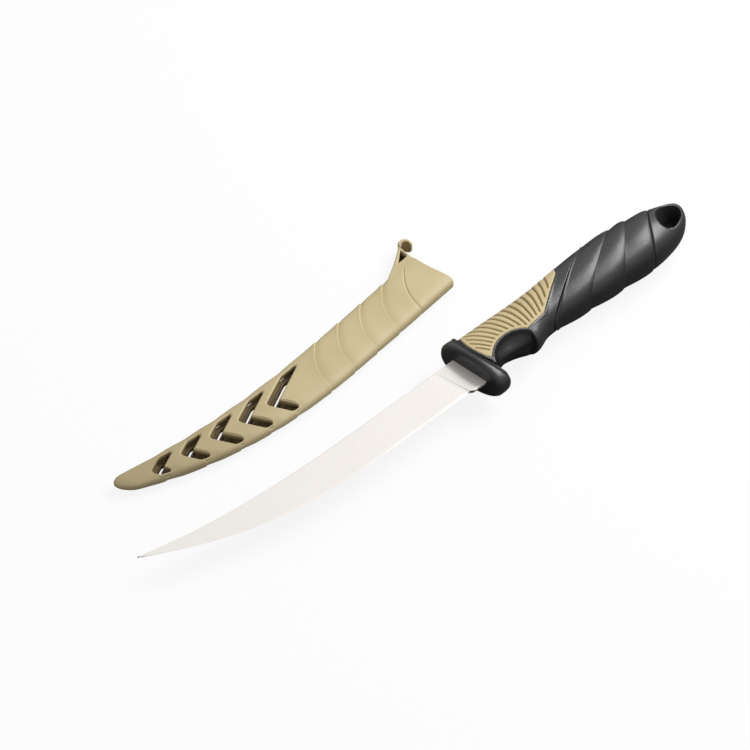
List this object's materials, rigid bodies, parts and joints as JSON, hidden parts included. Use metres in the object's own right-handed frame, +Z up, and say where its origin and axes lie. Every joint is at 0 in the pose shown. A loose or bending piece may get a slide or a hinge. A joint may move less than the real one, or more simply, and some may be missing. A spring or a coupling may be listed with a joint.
{
  "type": "fishing knife",
  "caption": "Curved fillet knife with a ribbed thumb inlay, spiral soft grip and lanyard hole, lying beside its slotted moulded sheath with a snap latch for the guard.",
  "frame": {"origin": "on the floor, under the middle of the box round knife and sheath", "axes": "+X along the knife from the point to the butt, +Y from the blade's edge to its spine, +Z up"},
  "size_m": [0.3198, 0.1028, 0.0234],
  "materials": {
    "steel": "satin",
    "hard_black": "satin",
    "soft_black": "soft matt",
    "soft_tan": "soft matt",
    "hard_tan": "satin"
  },
  "bodies": {
    "knife": {"blade": "steel", "handle_core": "hard_black", "thumb_inlay": "soft_tan", "grip_sleeve": "soft_black", "butt_cap": "hard_black"},
    "sheath": {"sheath_front_shell": "hard_tan", "sheath_rear_shell": "hard_tan"},
    "latch": {"guard_latch": "hard_tan"}
  },
  "joints": [
    {"name": "sheath_draw", "type": "slide", "parent": "knife", "child": "sheath", "axis": [-0.9943, -0.1063, 0], "range_m": [0, 0.178]},
    {"name": "latch_flex", "type": "hinge", "parent": "sheath", "child": "latch", "pos_m": [0.05896, 0.048, 0.0038], "axis": [0, 0, 1], "range_deg": [0, 11], "stiffness_Nm_per_rad": 0.12}
  ]
}
